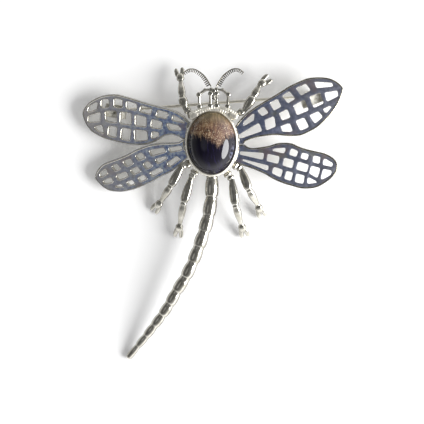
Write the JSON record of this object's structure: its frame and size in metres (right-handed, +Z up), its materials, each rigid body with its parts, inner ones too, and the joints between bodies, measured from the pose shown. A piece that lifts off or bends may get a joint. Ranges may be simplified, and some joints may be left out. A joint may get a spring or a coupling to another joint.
{
  "type": "brooch",
  "caption": "Dragonfly brooch: oval cabochon body, pierced bluish wings, segmented curved tail, openwork head, feelers, legs and a hinged pin behind.",
  "frame": {"origin": "centre of the bounding box's bottom, on the surface that the brooch lies on", "axes": "+Y towards the head and the feelers, +X towards the right wings, +Z up out of the front of the brooch"},
  "size_m": [0.079, 0.0892, 0.0134],
  "materials": {
    "silver_metal": "polished cast metal with darkened hollows",
    "blue_metal": "polished bluish plates",
    "stone": "polished cabochon, golden-brown at the head end and near black behind"
  },
  "bodies": {
    "brooch": {"setting": "silver_metal", "stone": "stone", "wing_upper_left": "blue_metal", "wing_lower_left": "blue_metal", "wing_upper_right": "blue_metal", "wing_lower_right": "blue_metal", "abdomen": "silver_metal", "head": "silver_metal", "antenna_left": "silver_metal", "antenna_right": "silver_metal", "leg_front_left": "silver_metal", "leg_front_right": "silver_metal", "leg_middle_left": "silver_metal", "leg_middle_right": "silver_metal", "leg_hind_left": "silver_metal", "leg_hind_right": "silver_metal", "pin_hinge": "silver_metal", "hinge_rivet": "silver_metal", "pin_catch": "silver_metal"},
    "pin": {"pin_stem": "silver_metal"}
  },
  "joints": [
    {"name": "pin_hinge", "type": "hinge", "parent": "brooch", "child": "pin", "pos_m": [-0.02978, 0.03159, 0.0015], "axis": [-0.035, 0.4988, -0.866], "range_deg": [0, 60]}
  ]
}
